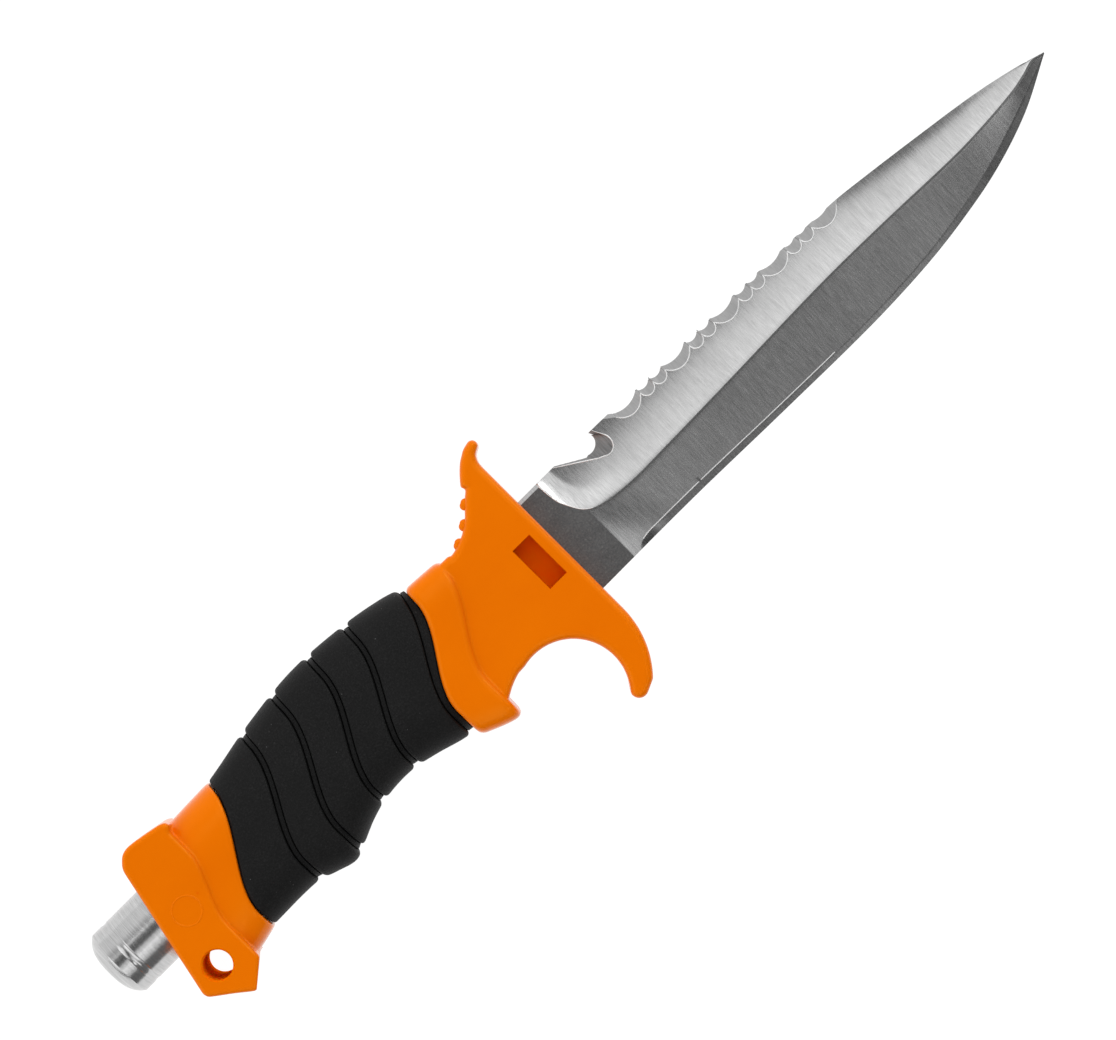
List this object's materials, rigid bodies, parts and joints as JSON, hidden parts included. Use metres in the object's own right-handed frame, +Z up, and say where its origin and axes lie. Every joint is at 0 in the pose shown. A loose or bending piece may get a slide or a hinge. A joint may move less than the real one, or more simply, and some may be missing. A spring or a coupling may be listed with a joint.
{
  "type": "rigging knife",
  "caption": "Fixed-blade rigging knife with serrated spine and line cutter, finger-hook guard, rubber grip and a butt cap with lanyard hole held by a screw-on steel pommel.",
  "frame": {"origin": "on the plane the knife lies on, under the middle of its overall box", "axes": "+X towards the blade's tip, +Y towards the spine and the thumb horn, +Z up, square to the blade's flat"},
  "size_m": [0.2622, 0.0606, 0.0212],
  "materials": {
    "blade_steel": "cross-ground satin",
    "turned_steel": "turned",
    "orange_plastic": "semi-gloss moulded",
    "black_rubber": "fine matt texture",
    "core_plastic": "matt moulded"
  },
  "bodies": {
    "knife": {"blade": "blade_steel", "tang_stud": "turned_steel", "stud_pin": "turned_steel", "guard": "orange_plastic", "tang_seal": "black_rubber", "core_left": "core_plastic", "core_right": "core_plastic", "grip_sleeve": "black_rubber", "butt_cap": "orange_plastic", "butt_washer": "turned_steel"},
    "pommel_carrier": {"pommel_o_ring": "black_rubber"},
    "pommel": {"pommel": "turned_steel"}
  },
  "joints": [
    {"name": "pommel_back_off", "type": "slide", "parent": "knife", "child": "pommel_carrier", "axis": [-1, 0, 0], "range_m": [0, 0.0125]},
    {"name": "pommel_unscrew", "type": "hinge", "parent": "pommel_carrier", "child": "pommel", "pos_m": [-0.12, 0.00607, 0.0106], "axis": [-1, 0, 0], "range_deg": [0, 3600]}
  ],
  "couplings": [
    {"joint": "pommel_back_off", "follows": "pommel_unscrew", "m_per_rad": 0.00019894}
  ]
}
